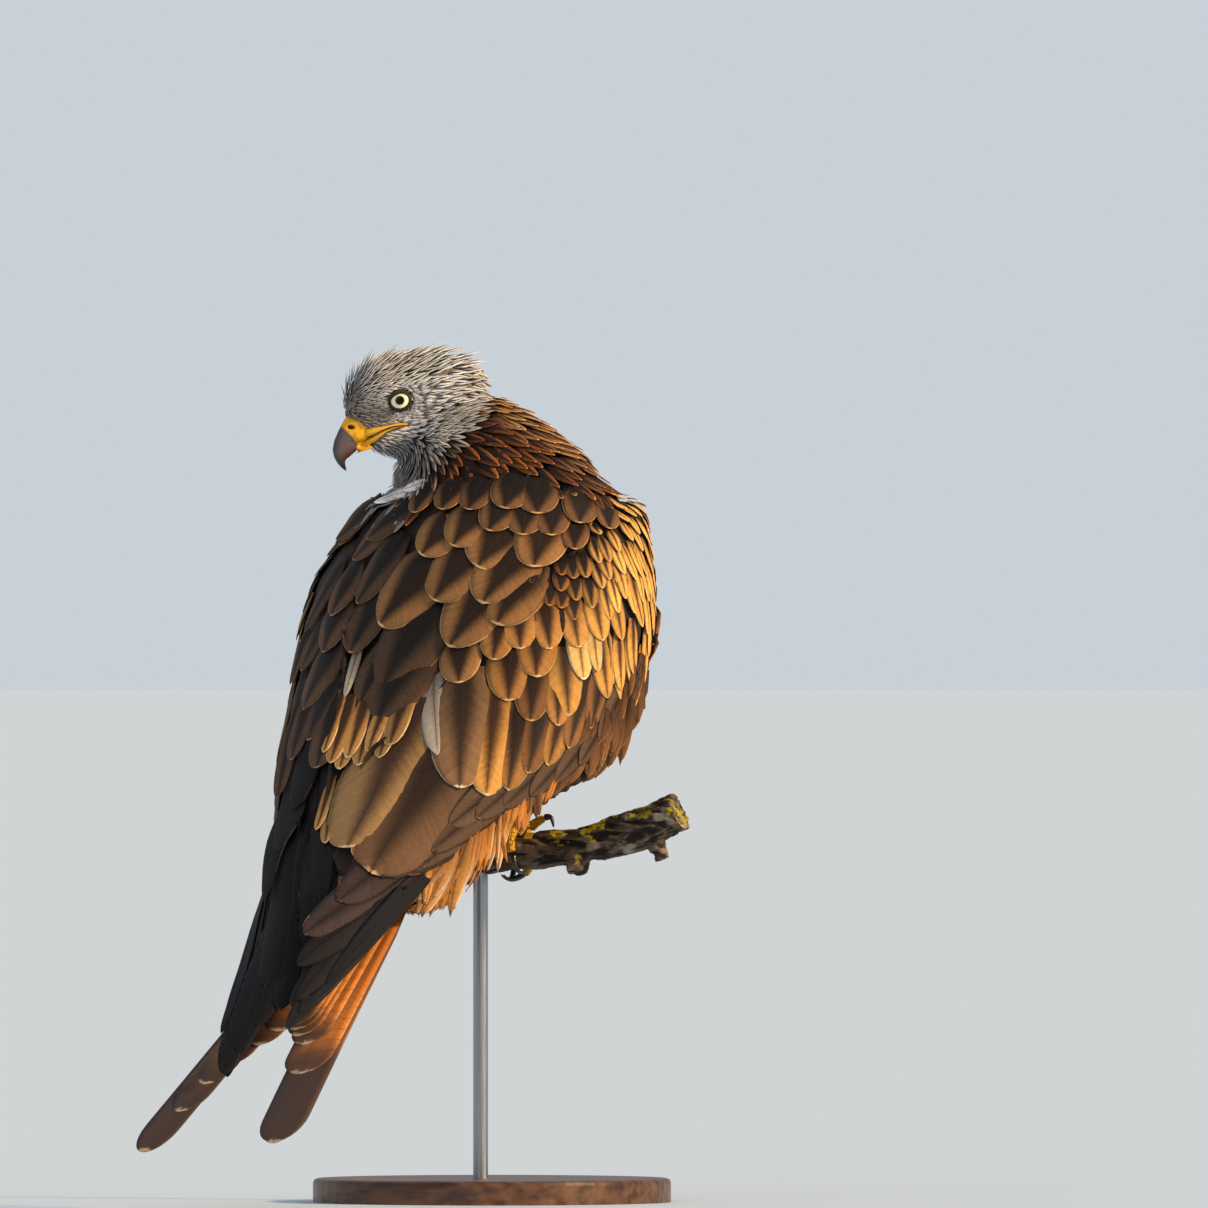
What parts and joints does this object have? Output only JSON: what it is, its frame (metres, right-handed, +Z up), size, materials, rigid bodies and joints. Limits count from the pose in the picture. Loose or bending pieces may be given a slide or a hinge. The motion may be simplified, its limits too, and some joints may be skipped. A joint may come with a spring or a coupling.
{
  "type": "red kite model",
  "caption": "Life-size red kite at rest on a short branch, head turned back over its left shoulder, with folded wings and a long forked tail, on a round display stand.",
  "frame": {"origin": "centre of the underside of the stand's round base, below the middle of the gripped branch", "axes": "+Z up, -Y the way the bird's breast faces, +X the bird's left"},
  "size_m": [0.2992, 0.4825, 0.5716],
  "materials": {
    "grey_feathers": "soft grey-white feathers with dark shafts",
    "rufous_feathers": "rufous feathers with dark centres",
    "brown_feathers": "dark brown feathers with warm pale edges",
    "dark_feathers": "blackish flight feathers with a soft sheen",
    "tail_feathers": "orange-rufous tail feathers with pale tips",
    "bill_horn": "polished dark horn",
    "bill_yellow": "waxy yellow",
    "eye": "wet glossy eye with a pale yellow iris",
    "leg_yellow": "scaly yellow skin",
    "claw": "glossy black horn",
    "bark": "rough weathered bark with lichen",
    "stand_wood": "satin dark wood",
    "stand_steel": "satin steel"
  },
  "bodies": {
    "root": {"bill_lower": "bill_yellow", "bill_upper": "bill_horn", "eye_left": "eye", "eye_right": "eye", "head": "grey_feathers", "left_hind_claw": "claw", "left_hind_toe": "leg_yellow", "left_inner_claw": "claw", "left_inner_toe": "leg_yellow", "left_middle_claw": "claw", "left_middle_toe": "leg_yellow", "left_outer_claw": "claw", "left_outer_toe": "leg_yellow", "neck": "rufous_feathers", "perch_branch": "bark", "right_hind_claw": "claw", "right_hind_toe": "leg_yellow", "right_inner_claw": "claw", "right_inner_toe": "leg_yellow", "right_middle_claw": "claw", "right_middle_toe": "leg_yellow", "right_outer_claw": "claw", "right_outer_toe": "leg_yellow", "sole_left": "leg_yellow", "sole_right": "leg_yellow", "stand_base": "stand_wood", "stand_rod": "stand_steel", "tail": "tail_feathers", "tarsus_left": "leg_yellow", "tarsus_right": "leg_yellow", "thigh_left": "rufous_feathers", "thigh_right": "rufous_feathers", "trunk": "rufous_feathers", "wing_left": "brown_feathers", "wing_right": "brown_feathers", "wing_tip_left": "dark_feathers", "wing_tip_right": "dark_feathers"}
  },
  "joints": []
}
